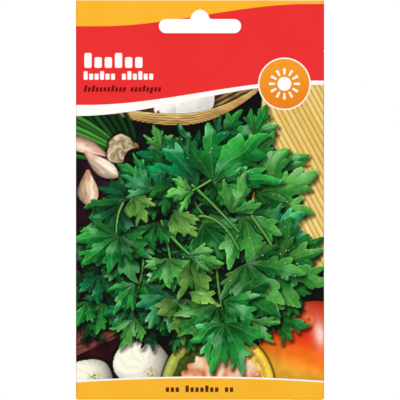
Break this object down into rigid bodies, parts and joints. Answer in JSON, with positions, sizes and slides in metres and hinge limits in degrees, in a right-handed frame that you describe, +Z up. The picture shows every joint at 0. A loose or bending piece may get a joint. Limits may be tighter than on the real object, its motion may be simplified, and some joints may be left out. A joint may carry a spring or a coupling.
{
  "type": "seed packet",
  "caption": "Flat folded paper seed packet with a printed front, a punched hang slot in its glued header, and loose seeds settled in its sealed pouch.",
  "frame": {"origin": "top of the hang slot's dome, where a peg bears, halfway through the packet's thickness", "axes": "+Z up towards the cut top edge, +X to the right as seen from the printed front, -Y out of the printed front"},
  "size_m": [0.0966, 0.0036, 0.1555],
  "materials": {
    "printed_paper": "coated paper, satin, printed in full colour outside and bare white inside",
    "glue": "dried paper glue, dull",
    "seeds": "dry ridged herb seeds, matt"
  },
  "bodies": {
    "root": {"folded_sheet": "printed_paper", "header_glue": "glue", "side_seam_glue": "glue", "bottom_flap_glue": "glue", "seed_fill": "seeds"}
  },
  "joints": []
}
